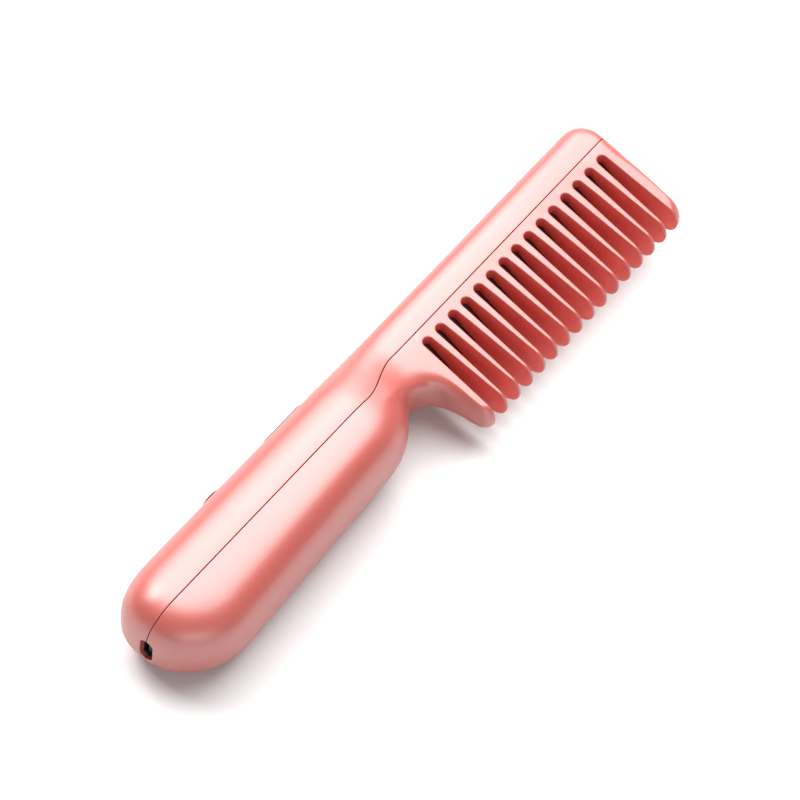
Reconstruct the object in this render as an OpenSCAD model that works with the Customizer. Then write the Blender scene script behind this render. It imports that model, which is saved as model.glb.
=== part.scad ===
// Cordless hot comb lying on its side.
// X runs along the comb, from the charging end (-X) to the nose (+X).
// Y runs across it, from the tooth tips (-Y) to the back with the controls (+Y).
// Z is the thickness. The origin is the middle of the footprint, on the surface the comb rests on.
// Inside the modules Y = 0 is the handle's seam and Z = 0 the mid-plane; in_place() moves both.

/* [Overall] */
// Length of the whole comb
overall_l = 181; // [176:0.5:190]
// Distance from the handle's seam to the flat back
back_y = 13.5; // [13.2:0.1:14.5]
// Distance from the handle's seam to the tooth tips
tip_y = 23.8; // [22.5:0.1:26]
// Thickness of the handle
handle_t = 26.4; // [26:0.2:29]
// Thickness of the head at its thickest
head_t = 17.2; // [16.6:0.2:19]
// Wall thickness of both shells
wall = 2; // [1.6:0.1:2.2]

/* [Handle] */
// Distance from the handle's seam to the belly at its fullest
belly_y = 16; // [15.5:0.1:16.6]
// Distance from the handle's seam to the belly beside the notch
belly_end_y = 13.35; // [13.1:0.05:13.6]
// Length of the round handle end
dome_l = 18.8; // [17.6:0.2:20]
// Distance along the comb from where the belly starts to bend to the middle of the notch
belly_bend_l = 17; // [16:0.5:19]
// Radius of the finger notch
notch_r = 6.2; // [5.8:0.1:6.4]
// Distance from the handle's seam to the floor of the notch
notch_y = 6.1; // [5.9:0.1:6.6]

/* [Comb] */
// Number of slots between the teeth
slot_count = 15; // [10:1:15]
// Spacing of the slots
pitch = 5; // [4.8:0.05:5]
// Distance from the handle end to the middle of the first slot
first_slot = 103.5; // [103:0.5:106]
// Width of a slot at its round root
slot_root_w = 2.85; // [2.4:0.05:3]
// Width of a slot at the tooth tips
slot_tip_w = 4.35; // [4:0.05:4.5]
// Thickness of the teeth at their tips
tip_t = 9.2; // [8:0.2:11]
// Step of the seam from the handle to the head
seam_step = 3.8; // [3.4:0.1:4.2]

/* [Controls] */
// Length of the control panel
panel_l = 42; // [40:0.5:44]
// Width of the control panel
panel_w = 10; // [9.8:0.1:10.6]
// Distance from the handle end to the middle of the control panel
panel_at = 54; // [52:0.5:56]
// Thickness of the control panel
panel_t = 1.2; // [1:0.1:1.4]
// Height of the panel above the back
panel_proud = 0.1; // [0.05:0.05:0.3]
// Diameter of the power button
button_d = 7.4; // [6.6:0.1:8]
// Height of the button above the panel
button_proud = 0.55; // [0.5:0.05:0.9]
// Travel of the button
button_travel = 0.4; // [0.3:0.05:0.5]
// Length of the display window
window_l = 13.6; // [12:0.2:14]
// Width of the display window
window_w = 8; // [7.4:0.1:8.2]
// Height of the display window above the panel
window_proud = 0.25; // [0.15:0.05:0.4]

/* [Charging port] */
// Width of the port's opening
port_w = 9.3; // [9.2:0.05:9.6]
// Height of the port's opening
port_h = 3.5; // [3.4:0.05:3.8]
// Length of the socket
socket_l = 7.4; // [7:0.1:8]
// Thickness of the socket's metal
socket_metal = 0.3; // [0.25:0.05:0.4]

/* [Battery] */
// Diameter of the battery cell
cell_d = 18.3; // [18:0.1:18.5]
// Length of the battery cell
cell_l = 65; // [64:0.5:65.5]
// Thickness of the foam pad at each end of the cell
pad_t = 1; // [0.8:0.1:1.2]

/* [Boards] */
// Thickness of both circuit boards
board_t = 1; // [0.8:0.1:1.2]
// Length of the control board
board_l = 50; // [48:0.5:52]
// Width of the control board
board_w = 13.4; // [13:0.1:13.8]

/* [Heater] */
// Thickness of the heater bar at the slot roots
bar_t = 9; // [8.4:0.1:9.4]
// Reach of the heater bar from the slot roots into the slots
bar_reach = 6.4; // [5:0.1:7]
// Thickness of the ceramic heating strip
ceramic_t = 2.2; // [2:0.1:2.4]
// Width of the ceramic heating strip
ceramic_w = 8; // [7:0.1:8.4]
// Thickness of the insulating film
film_t = 0.2; // [0.1:0.05:0.3]

/* [Hidden] */
// Clearance of pieces that sit in one another
fit = 0.1;
// Clearance round the moving button
button_clear = 0.2;
// Overrun of a cut beyond the face it opens
over = 1;
// Ends and middle lines of the comb
end_x = -overall_l / 2;
nose_x = overall_l / 2;
half_handle = handle_t / 2;
half_head = head_t / 2;
half_tip = tip_t / 2;
dome_x = end_x + dome_l;
// Round end: share of its length that its middle line takes, height of its pole, squareness at the back
dome_spine = 0.3;
dome_pole_y = 1;
dome_corner = 3;
handle_mid_y = (back_y - belly_y) / 2;
ridge_y = 4;
first_x = end_x + first_slot;
last_x = first_x + (slot_count - 1) * pitch;
notch_to_slot = 12.2;
// Notch between the belly and the first tooth
notch_x = first_x - notch_to_slot;
notch_cy = -notch_y - notch_r;
bend_start_x = notch_x - belly_bend_l;
tooth_tip_r = 2.5;
tooth_tip_in = 0.7;
tooth_tip_cx = first_x - slot_root_w / 2 - tooth_tip_in;
// The bend touches the notch, and the tooth's edge touches the notch and the tooth's tip
bend_rise = belly_end_y + notch_cy;
bend_span2 = belly_bend_l * belly_bend_l + bend_rise * bend_rise;
bend_r = (bend_span2 - notch_r * notch_r) / (2 * (bend_rise + notch_r));
bend_angle = atan2(belly_bend_l, bend_r - bend_rise);
tooth_run = [tooth_tip_cx - notch_x, -tip_y + tooth_tip_r - notch_cy];
tooth_lean = acos((notch_r + tooth_tip_r) / norm(tooth_run)) + atan2(tooth_run[1], tooth_run[0]);
// Nose: a large corner at the back and a small one at the tips
nose_back_r = 6.5;
nose_tip_r = 3.6;
nose_lean = 1.8;
nose_spine = [12, 8];
nose_spine_from = nose_x - nose_spine[0];
nose_spine_to = nose_x - nose_spine[1];
// Depth of the rounding at the edges, measured inwards from the outline
head_back_round = 7;
notch_round = 8;
tip_round = 3.2;
nose_round = 4.5;
// Largest share of a rib that its rounding takes
most_round = 0.9;
// Fullness of the cross-section: 2 is an ellipse, more is squarer
back_fullness = 2.65;
belly_fullness = 2.6;
edge_fullness = 2;
end_fullness = 2.8;
// Neck, measured from the notch: where the thickness falls from the handle's to the head's,
// where the cross-section turns into the comb's, and where its middle line moves
neck_reach = [18, 6];
neck_from = notch_x - neck_reach[0];
neck_to = notch_x + neck_reach[1];
share_reach = [6, 3];
share_from = notch_x - share_reach[0];
share_to = notch_x + share_reach[1];
spine_reach = [12, 6];
spine_from = notch_x - spine_reach[0];
spine_to = notch_x + spine_reach[1];
// How far the ribs' middle points run ahead of the outline at the first tooth
spine_lead = 10;
// Height at which the notch's rounding turns into the tip's
tip_round_from_y = -10;
tip_round_to_y = -18;
// Face of the teeth: thickness falls from this line to the tips
wedge_from_y = 2;
wedge_to_y = -tip_y + 1.5;
// Samples along the outline and across the rounding
dome_n = 9;
belly_n = 5;
bend_n = 4;
notch_n = 9;
tooth_n = 4;
tooth_tip_n = 4;
comb_n = 5;
nose_corner_n = 5;
nose_edge_n = 3;
round_n = 6;
// Sides of full circles
fine_fn = 64;
hole_fn = 40;
small_fn = 24;
// Straight side left between two round corners, halved
corner_flat = 0.01;

// Seam: the handle's stretch, the step at the neck and the head's stretch
seam_gap = 0.1;
jog_reach = [11.5, 2.5];
jog_from = notch_x - jog_reach[0];
jog_to = notch_x + jog_reach[1];
jog_n = 10;

// Highest point at the back, lowest at the tips, and the shift that centres the footprint
panel_top = back_y + panel_proud;
top_y = panel_top + button_proud;
mid_y = (top_y - tip_y) / 2;

// Insides of the handle and the head
handle_cavity_end = notch_x - 2;
head_cavity_x0 = notch_x - 5;
head_cavity_h = half_head - wall - 0.5;
head_cavity_top = back_y - wall;
head_cavity_slope = [2.5, 2];
// Overlap of ribs and posts with the wall they stand on
merge = 0.4;

// Controls on the back
panel_x = end_x + panel_at;
panel_floor = panel_top - panel_t;
panel_edge = 0.3;
button_x = panel_x - panel_l / 2 + 6;
button_flange = 0.8;
button_flange_t = 0.7;
button_gap = 0.1;
button_crown = 0.3;
crown_edge_r = 0.8;
crown_edge_drop = 0.3;
crown_top_r = 0.4;
button_floor = panel_floor - button_gap - button_flange_t;
window_x = panel_x + panel_l / 2 - 3.5 - window_l / 2;
window_lip = 0.8;
window_seat = 0.5;
window_r = 1;
window_hole = [window_l - 0.8, window_w - 1];

// Control board, hung from four posts under the back, with the battery cell below it
board_drop = 2.75;
board_y = back_y - wall - board_drop;
board_top = board_y + board_t;

// Battery cell with a tab and a pad at each end, between two bulkheads
cell_gap = 0.9;
cell_y = board_y - cell_gap - cell_d / 2;
port_room = 13;
cell_x0 = end_x + port_room;
cell_x1 = cell_x0 + cell_l;
tab_t = 0.2;
tab_w = 6;
tab_l = 13.4;
pad_d = 13;
stack = tab_t + pad_t + 2 * fit;
bulkhead_t = 1.2;
cradle_t = 1.6;
cradle_count = 3;
bulkhead_drop = 0.8;

// Pieces on the control board
board_x = panel_x + 1;
post_d = 4.2;
post_x = board_l / 2 - 3;
post_z = board_w / 2 - 2.4;
screw_d = 1.6;
screw_head_d = 3;
screw_head_t = 0.9;
screw_l = 2.6;
post_grip = 1.6;
post_bore = 0.3;
switch_w = 5.2;
switch_h = 1.4;
stem_d = 2.4;
stem_sunk = 0.7;
display_h = panel_floor - board_top - 0.2;
display_margin = [1, 1.2];
chip_w = 7;
chip_h = 1;
transistor_w = 4.4;
transistor_h = 1;
transistor_pitch = 5.4;
transistor_x0 = button_x + switch_w / 2 + 3;

// Charging board and its socket
socket_x0 = end_x + 1.1;
socket_x1 = socket_x0 + socket_l;
socket_w = port_w - 0.36;
socket_h = port_h - 0.3;
tongue_w = socket_w - 2.2;
tongue_h = 0.7;
tongue_in = 0.8;
tongue_back = 1.5;
charge_top = -socket_h / 2;
charge_x0 = socket_x0 + 4;
charge_x1 = cell_x0 - stack - bulkhead_t - fit;
charge_w = 10.4;
charge_ledge = 1.2;
charge_ledge_in = 0.6;

// Heater: bar in the slot roots, ceramic strip on its back, carrier over both
root_r = slot_root_w / 2;
bar_over = 3;
bar_x0 = first_x - bar_over;
bar_x1 = last_x + bar_over;
bar_back = seam_step + 0.4;
bar_half = bar_t / 2;
bar_side_a = 28;
bar_nose_n = 4;
bar_shoulder_y = root_r - 0.4;
bar_nose_r = 1.1;
bar_nose_y = -bar_reach + bar_nose_r;
film_y0 = bar_back;
ceramic_y0 = film_y0 + film_t;
ceramic_y1 = ceramic_y0 + ceramic_t;
ceramic_x0 = bar_x0 + 7;
ceramic_x1 = bar_x1 - 10;
head_cavity_x1 = bar_x1 + 0.4;
film_over = 0.8;
carrier_web = 1.4;
carrier_leg = 1;
carrier_y0 = ceramic_y1 + film_t;
carrier_y1 = carrier_y0 + carrier_web;
carrier_half = bar_half + fit + carrier_leg;
carrier_screw_in = 3.2;
carrier_screw_x = [bar_x0 + carrier_screw_in, bar_x1 - carrier_screw_in];
sensor_l = 2.4;
sensor_w = 3;
sensor_h = 1.1;
fuse_d = 2.2;
fuse_l = 8;
fuse_x = first_x + 2.5 * pitch;
press_rib_t = 1.4;
press_rib_h = head_cavity_h - 1.5;
press_rib_x = [first_x + 6 * pitch, first_x + 11 * pitch];

// Wires
wire_d = 1.3;
wire_bend = 1.6;
wire_y = board_y + board_t / 2;
heater_wire_z = 3.3;
heater_wire_x = notch_x + 1.5;
heater_wire_y = (ceramic_y0 + ceramic_y1) / 2;

// Snap tongues of the back shell
clip_w = 5;
clip_t = 1.1;
clip_reach = 3;
clip_root = 2.6;
clip_barb = 0.25;
clip_slack = 0.35;
clip_blade = 0.4;
clip_taper = 1;
clip_count = 4;
clip_pitch = 18.5;
clip_x0 = dome_x + 1.5;

// ---- shape of the casing ----

// 0 before a, 1 after b, smooth between
function ease(v, a, b) = let (t = min(max((v - a) / (b - a), 0), 1)) t * t * (3 - 2 * t);

function mix(a, b, t) = a + (b - a) * t;

function arc(c, r, a0, a1, n) =
    [for (k = [0:n]) let (a = mix(a0, a1, k / n)) c + r * [cos(a), sin(a)]];

function line(a, b, n) = [for (k = [0:n]) mix(a, b, k / n)];

// All points but the first, so that joined stretches share no point
function rest(p) = [for (k = [1:len(p) - 1]) p[k]];

// Half thickness of the side faces
function ridge_h(x) = mix(half_handle, half_head, ease(x, neck_from, neck_to));
function comb_share(x) = ease(x, share_from, share_to);
function face_h(x, y) =
    let (down = min(max((wedge_from_y - y) / (wedge_from_y - wedge_to_y), 0), 1))
    mix(ridge_h(x), mix(ridge_h(x), half_tip, down), comb_share(x));

// A rib of the loft: [back point, middle point, front point, back rounding, front rounding]
function dome_ribs() = [for (k = [0:dome_n])
    let (a = 90 * k / dome_n, along = max(cos(a), 0), across = sin(a), corner = 2 / dome_corner,
         s = [dome_x - dome_spine * dome_l * along, mix(handle_mid_y, dome_pole_y, along)],
         b = [dome_x - dome_l * pow(along, corner), mix(dome_pole_y, back_y, pow(across, corner))],
         f = [dome_x - dome_l * along, mix(dome_pole_y, -belly_y, across)])
    [b, s, f, norm(b - s), norm(f - s)]];

bend_c = [bend_start_x, -belly_end_y + bend_r];
notch_c = [notch_x, notch_cy];
tooth_foot = notch_c + notch_r * [cos(tooth_lean), sin(tooth_lean)];
tooth_tip_c = [tooth_tip_cx, -tip_y + tooth_tip_r];
tooth_shoulder = tooth_tip_c - tooth_tip_r * [cos(tooth_lean), sin(tooth_lean)];

// Front outline from the belly round the notch to the tip of the first tooth
function neck_front() = concat(
    line([dome_x, -belly_y], [bend_start_x, -belly_end_y], belly_n),
    rest(arc(bend_c, bend_r, -90, -90 + bend_angle, bend_n)),
    rest(arc(notch_c, notch_r, 90 + bend_angle, tooth_lean, notch_n)),
    rest(line(tooth_foot, tooth_shoulder, tooth_n)),
    rest(arc(tooth_tip_c, tooth_tip_r, 180 + tooth_lean, 270, tooth_tip_n)));

function path_len(p, n) = n <= 0 ? 0 : norm(p[n] - p[n - 1]) + path_len(p, n - 1);

function neck_ribs() =
    let (f = neck_front(), n = len(f) - 1, x1 = f[n][0], total = path_len(f, n))
    [for (k = [1:n])
        let (x0 = mix(dome_x, x1, path_len(f, k) / total),
             c = ease(x0, spine_from, spine_to),
             x = x0 + spine_lead * ease(x0, spine_from, x1),
             t = ease(f[k][1], tip_round_from_y, tip_round_to_y),
             s = [x, mix(handle_mid_y, ridge_y, c)],
             b = [x, back_y])
        [b, s, f[k],
         mix(norm(b - s), head_back_round, c),
         mix(norm(f[k] - s), mix(notch_round, tip_round, t), c)]];

function comb_ribs() =
    let (x0 = tooth_tip_c[0], x1 = nose_x - nose_lean - nose_tip_r, lead_x = x0 + spine_lead)
    [for (k = [1:comb_n])
        let (t = k / comb_n)
        [[mix(lead_x, nose_x - nose_back_r, t), back_y],
         [mix(lead_x, nose_spine_from, t), ridge_y],
         [mix(x0, x1, t), -tip_y], head_back_round, tip_round]];

function nose_back() = concat(
    arc([nose_x - nose_back_r, back_y - nose_back_r], nose_back_r, 90, 0, nose_corner_n),
    rest(line([nose_x, back_y - nose_back_r], [nose_x, 0], nose_edge_n)));

function nose_front() = concat(
    arc([nose_x - nose_lean - nose_tip_r, -tip_y + nose_tip_r], nose_tip_r, -90, 0, nose_corner_n),
    rest(line([nose_x - nose_lean, -tip_y + nose_tip_r], [nose_x, 0], nose_edge_n)));

function nose_ribs() =
    let (b = nose_back(), f = nose_front(), n = len(b) - 1)
    [for (k = [1:n])
        let (s = [mix(nose_spine_from, nose_spine_to, k / n), mix(ridge_y, 0, k / n)],
             t = min(k / nose_corner_n, 1))
        [b[k], s, f[k], mix(head_back_round, nose_round, t), mix(tip_round, nose_round, t)]];

function casing_ribs() = concat(dome_ribs(), neck_ribs(), comb_ribs(), nose_ribs());

// Points from an outline point p to the middle point s, rounding over the depth r
function half_rib(p, s, r, full, inset) =
    let (reach = norm(s - p), dir = (s - p) / reach, depth = min(r, most_round * reach))
    concat(
        [for (j = [0:round_n])
            let (a = 90 * j / round_n,
                 q = p + dir * mix(inset, reach, depth / reach * (1 - pow(cos(a), 2 / full))),
                 h = face_h(q[0], q[1]) - inset)
            [q[0], q[1], j == 0 ? 0 : h * pow(sin(a), 2 / full)]],
        [let (q = mix(p + dir * depth, s, 0.5)) [q[0], q[1], face_h(q[0], q[1]) - inset]]);

// One rib across the upper face, from the back outline to the front one
function rib(v, inset) =
    let (s = v[1],
         end = min(max((dome_x - s[0]) / (dome_spine * dome_l), 0), 1),
         side_fullness = mix(belly_fullness, edge_fullness, comb_share(s[0])),
         b = half_rib(v[0], s, v[3], mix(back_fullness, end_fullness, end), inset),
         f = half_rib(v[2], s, v[4], mix(side_fullness, end_fullness, end), inset),
         n = len(b) - 1)
    concat(b, [[s[0], s[1], face_h(s[0], s[1]) - inset]], [for (k = [n:-1:0]) f[k]]);

// Index of a ring point. At both ends the two halves of a rib are one line, so their points are shared
function ring_id(i, k, m, n) =
    let (other = k <= m ? m - k : 3 * m - k)
    i * 2 * m + (i == 0 || i == n ? min(k, other) : k);

// Closed skin through ribs: rows of points over the top and, mirrored, under the bottom
module skin(ribs, inset) {
    rows = [for (v = ribs) rib(v, inset)];
    n = len(rows) - 1;
    m = len(rows[0]) - 1;
    ring = 2 * m;
    points = [for (r = rows) for (k = [0:ring - 1])
        k <= m ? r[k] : [r[ring - k][0], r[ring - k][1], -r[ring - k][2]]];
    faces = [for (i = [0:n - 1]) for (k = [0:ring - 1])
        let (k2 = (k + 1) % ring,
             a = ring_id(i, k, m, n), b = ring_id(i, k2, m, n),
             c = ring_id(i + 1, k2, m, n), d = ring_id(i + 1, k, m, n))
        each [[a, c, b], [a, d, c]]];
    polyhedron(points = points, faces = faces, convexity = 8);
}

module in_place() {
    translate([0, -mid_y, half_handle])
        children();
}

// Extrudes a (Y, Z) outline along X
module along_x(x0, x1) {
    translate([x0, 0, 0])
        rotate([90, 0, 90])
            linear_extrude(height = x1 - x0)
                children();
}

// Extrudes an (X, Z) outline along Y
module along_y(y0, y1) {
    translate([0, y1, 0])
        rotate([90, 0, 0])
            linear_extrude(height = y1 - y0)
                children();
}

// Round bar along Y
module post(x, z, d, y0, y1, fn = hole_fn) {
    translate([x, y1, z])
        rotate([90, 0, 0])
            cylinder(d = d, h = y1 - y0, $fn = fn);
}

// Outline with round corners, centred
module rounded(l, w, r) {
    square([l - 2 * r, w], center = true);
    square([l, w - 2 * r], center = true);
    for (sx = [-1, 1])
        for (sy = [-1, 1])
            translate([sx * (l / 2 - r), sy * (w / 2 - r)])
                circle(r = r, $fn = hole_fn);
}

module block(x0, x1, y0, y1, z0, z1) {
    translate([x0, y0, z0])
        cube([x1 - x0, y1 - y0, z1 - z0]);
}

function seam_y(x) = seam_step * ease(x, jog_from, jog_to);

// Everything on the back side of the seam, moved back by the gap
module seam_side(gap) {
    x0 = end_x - over;
    x1 = nose_x + over;
    y1 = back_y + over;
    jog = [for (k = [0:jog_n]) let (x = mix(jog_from, jog_to, k / jog_n)) [x, seam_y(x) + gap]];
    translate([0, 0, -handle_t])
        linear_extrude(height = 2 * handle_t)
            polygon(concat([[x0, gap]], jog, [[x1, seam_step + gap], [x1, y1], [x0, y1]]));
}

module handle_cavity() {
    intersection() {
        skin(casing_ribs(), wall);
        block(end_x, handle_cavity_end, -belly_y, back_y, -handle_t, handle_t);
    }
}

module head_cavity() {
    h = head_cavity_h;
    h2 = h - head_cavity_slope[1];
    y1 = head_cavity_top;
    y2 = y1 - head_cavity_slope[0];
    along_x(head_cavity_x0, head_cavity_x1)
        polygon([[-over, -h], [y2, -h], [y1, -h2], [y1, h2], [y2, h], [-over, h]]);
}

module port_hole() {
    along_x(end_x - over, charge_x0)
        rotate(90)
            rounded(port_w, port_h, port_h / 2 - corner_flat);
}

// Snap tongue: a root on the shell's wall and a blade with a barb past the seam
module clip(x, side) {
    wall_z = side * (half_handle - wall);
    blade_z = wall_z - side * (clip_slack + clip_t / 2);
    hull() {
        translate([x, clip_root, wall_z])
            cube([clip_w, clip_root, clip_t], center = true);
        translate([x, clip_root / 2 + clip_blade, blade_z])
            cube([clip_w, 2 * clip_blade, clip_t], center = true);
    }
    hull() {
        translate([x, clip_root / 2, blade_z])
            cube([clip_w, clip_blade, clip_t], center = true);
        translate([x, -clip_reach, blade_z])
            cube([clip_w - clip_taper, clip_blade, clip_t - clip_barb], center = true);
    }
}

// The four posts of the control board
module at_board_posts() {
    for (sx = [-1, 1])
        for (sz = [-1, 1])
            translate([board_x + sx * post_x, 0, sz * post_z])
                children();
}

module back_shell() {
    color([0.96, 0.78, 0.74])
        in_place() {
            difference() {
                intersection() {
                    skin(casing_ribs(), 0);
                    seam_side(seam_gap);
                }
                handle_cavity();
                head_cavity();
                port_hole();
                along_y(panel_floor, back_y + over)
                    translate([panel_x, 0])
                        rounded(panel_l + 2 * fit, panel_w + 2 * fit, panel_w / 2);
                post(button_x, 0, button_d + 2 * button_flange + 2 * button_clear, board_top, back_y);
                along_y(board_top, back_y)
                    translate([window_x, 0])
                        square(window_hole, center = true);
                at_board_posts()
                    post(0, 0, screw_d + fit, board_top - over, back_y - wall + post_bore);
            }
            at_board_posts()
                difference() {
                    post(0, 0, post_d, board_top, back_y - wall + merge);
                    post(0, 0, screw_d + fit, board_top - over, back_y - wall + post_bore);
                }
            for (x = press_rib_x)
                block(x, x + press_rib_t, carrier_y1 + fit, back_y - wall + merge, -press_rib_h, press_rib_h);
            for (k = [0:clip_count - 1])
                for (side = [-1, 1])
                    clip(clip_x0 + k * clip_pitch, side);
        }
}

// One slot, open at the tooth tips
module slot(x) {
    hull() {
        translate([x, 0, -half_handle])
            cylinder(r = root_r, h = handle_t, $fn = small_fn);
        translate([x - slot_tip_w / 2, -tip_y - over, -half_handle])
            cube([slot_tip_w, 0.5, handle_t]);
    }
}

// Cross-section of the heater bar, grown by g: flat back, sides closing to a round nose
module bar_outline(g) {
    h = bar_half + g;
    nose = arc([bar_nose_y, 0], bar_nose_r + g, 90 + bar_side_a, 270 - bar_side_a, bar_nose_n);
    polygon(concat([[bar_back + g, h], [bar_shoulder_y, h]], nose,
                   [[bar_shoulder_y, -h], [bar_back + g, -h]]));
}

module comb_shell() {
    color([0.97, 0.80, 0.76])
        in_place() {
            difference() {
                skin(casing_ribs(), 0);
                seam_side(0);
                handle_cavity();
                port_hole();
                for (k = [0:slot_count - 1])
                    slot(first_x + k * pitch);
                along_x(bar_x0 - fit, bar_x1 + fit)
                    bar_outline(fit);
            }
            intersection() {
                skin(casing_ribs(), wall / 2);
                union() {
                    battery_bulkhead(cell_x0 - stack - bulkhead_t);
                    battery_bulkhead(cell_x1 + stack);
                    for (k = [0:cradle_count - 1])
                        battery_cradle(cell_x0 + cell_l * (k + 0.5) / cradle_count);
                    for (z = [-charge_w / 2, charge_w / 2 - charge_ledge])
                        block(charge_x0 + charge_ledge_in, charge_x1, -belly_y, charge_top - board_t,
                              z, z + charge_ledge);
                }
            }
        }
}

module battery_bulkhead(x) {
    block(x, x + bulkhead_t, -belly_y, -clip_reach - bulkhead_drop, -half_handle, half_handle);
}

module battery_cradle(x) {
    difference() {
        block(x - cradle_t / 2, x + cradle_t / 2, -belly_y, cell_y - cell_d / 4, -half_handle, half_handle);
        translate([x - cradle_t, cell_y, 0])
            rotate([0, 90, 0])
                cylinder(d = cell_d + 2 * fit, h = 2 * cradle_t, $fn = fine_fn);
    }
}

module control_panel() {
    color([0.86, 0.62, 0.60])
        in_place()
            difference() {
                union() {
                    along_y(panel_floor, panel_top - panel_edge)
                        translate([panel_x, 0])
                            rounded(panel_l, panel_w, panel_w / 2 - corner_flat);
                    along_y(panel_top - panel_edge, panel_top)
                        translate([panel_x, 0])
                            rounded(panel_l - 2 * panel_edge, panel_w - 2 * panel_edge,
                                    panel_w / 2 - panel_edge - corner_flat);
                }
                post(button_x, 0, button_d + 2 * button_clear, panel_floor - over, panel_top + over);
                along_y(panel_top - window_seat, panel_top + over)
                    translate([window_x, 0])
                        rounded(window_l + 2 * fit, window_w + 2 * fit, window_r);
                along_y(panel_floor - over, panel_top)
                    translate([window_x, 0])
                        square([window_l - 2 * window_lip, window_w - 2 * window_lip], center = true);
            }
}

module display_window() {
    color([0.12, 0.07, 0.08])
        in_place()
            along_y(panel_top - window_seat, panel_top + window_proud)
                translate([window_x, 0])
                    rounded(window_l, window_w, window_r);
}

// Round cap with a low crown, held under the panel by its flange
module power_button() {
    r = button_d / 2;
    flange_r = r + button_flange;
    flange_y = button_floor + button_flange_t;
    color([0.62, 0.25, 0.25])
        in_place()
            translate([button_x, 0, 0])
                rotate([-90, 0, 0])
                    rotate_extrude($fn = fine_fn)
                        polygon([[0, button_floor], [flange_r, button_floor],
                                 [flange_r, flange_y], [r, flange_y],
                                 [r, top_y - button_crown],
                                 [r * crown_edge_r, top_y - button_crown * crown_edge_drop],
                                 [r * crown_top_r, top_y], [0, top_y]]);
}

module switch_stem() {
    color([0.2, 0.2, 0.22])
        in_place()
            post(button_x, 0, stem_d, board_top + switch_h - stem_sunk, button_floor);
}

module tact_switch() {
    color([0.75, 0.76, 0.78])
        in_place()
            difference() {
                block(button_x - switch_w / 2, button_x + switch_w / 2, board_top, board_top + switch_h,
                      -switch_w / 2, switch_w / 2);
                post(button_x, 0, stem_d + 2 * fit, board_top + switch_h - stem_sunk - button_travel - fit,
                     board_top + switch_h + over);
            }
}

module display_module() {
    color([0.9, 0.9, 0.88])
        in_place()
            block(window_x - window_l / 2 + display_margin[0], window_x + window_l / 2 - display_margin[0],
                  board_top, board_top + display_h,
                  -window_w / 2 + display_margin[1], window_w / 2 - display_margin[1]);
}

module control_board() {
    color([0.1, 0.42, 0.25])
        in_place()
            difference() {
                block(board_x - board_l / 2, board_x + board_l / 2, board_y, board_top,
                      -board_w / 2, board_w / 2);
                at_board_posts()
                    post(0, 0, screw_d + 2 * fit, board_y - over, board_top + over);
            }
}

module controller_chip() {
    color([0.12, 0.12, 0.13])
        in_place()
            block(board_x - chip_w / 2, board_x + chip_w / 2, board_top, board_top + chip_h,
                  -chip_w / 2, chip_w / 2);
}

module power_transistors() {
    color([0.14, 0.14, 0.15])
        in_place()
            for (z = [-transistor_pitch / 2, transistor_pitch / 2])
                block(transistor_x0, transistor_x0 + transistor_w, board_top, board_top + transistor_h,
                      z - transistor_w / 2, z + transistor_w / 2);
}

module charge_board() {
    color([0.1, 0.42, 0.25])
        in_place()
            block(charge_x0, charge_x1, charge_top - board_t, charge_top, -charge_w / 2, charge_w / 2);
}

module socket_shell() {
    color([0.8, 0.81, 0.83])
        in_place()
            difference() {
                along_x(socket_x0, socket_x1)
                    rotate(90)
                        rounded(socket_w, socket_h, socket_h / 2 - corner_flat);
                along_x(socket_x0 - over, socket_x1 - tongue_back)
                    rotate(90)
                        rounded(socket_w - 2 * socket_metal, socket_h - 2 * socket_metal,
                                socket_h / 2 - socket_metal - corner_flat);
            }
}

module socket_tongue() {
    color([0.1, 0.1, 0.11])
        in_place()
            block(socket_x0 + tongue_in, socket_x1 - tongue_back, -tongue_h / 2, tongue_h / 2,
                  -tongue_w / 2, tongue_w / 2);
}

module battery_cell() {
    color([0.25, 0.45, 0.75])
        in_place()
            translate([cell_x0, cell_y, 0])
                rotate([0, 90, 0])
                    cylinder(d = cell_d, h = cell_l, $fn = fine_fn);
}

module battery_pads() {
    color([0.25, 0.25, 0.27])
        in_place()
            for (x = [cell_x0 - stack + fit, cell_x1 + tab_t + fit])
                translate([x, cell_y, 0])
                    rotate([0, 90, 0])
                        cylinder(d = pad_d, h = pad_t, $fn = fine_fn);
}

module battery_tab(x) {
    block(x, x + tab_t, cell_y - tab_l / 2, cell_y + tab_l / 2, -tab_w / 2, tab_w / 2);
}

module battery_tab_rear() {
    color([0.8, 0.8, 0.78])
        in_place()
            battery_tab(cell_x0 - tab_t);
}

module battery_tab_front() {
    color([0.8, 0.8, 0.78])
        in_place()
            battery_tab(cell_x1);
}

// Quarter bend of a wire in the XY plane round (cx, cy), from angle a
module wire_elbow(cx, cy, z, a) {
    translate([cx, cy, z])
        rotate([0, 0, a])
            rotate_extrude(angle = 90, $fn = hole_fn)
                translate([wire_bend, 0])
                    circle(d = wire_d, $fn = small_fn);
}

module wire_run_x(x0, x1, y, z) {
    translate([x0, y, z])
        rotate([0, 90, 0])
            cylinder(d = wire_d, h = x1 - x0, $fn = small_fn);
}

module battery_wire_rear() {
    x = cell_x0 - fit / 2 - wire_d / 2;
    color([0.75, 0.1, 0.1])
        in_place() {
            post(x, 0, wire_d, cell_y + tab_l / 2, wire_y - wire_bend, small_fn);
            wire_elbow(x + wire_bend, wire_y - wire_bend, 0, 90);
            wire_run_x(x + wire_bend, board_x - board_l / 2, wire_y, 0);
        }
}

module battery_wire_front() {
    color([0.1, 0.1, 0.1])
        in_place()
            post(cell_x1 + fit / 2 + wire_d / 2, 0, wire_d, cell_y + tab_l / 2, board_y, small_fn);
}

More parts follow.
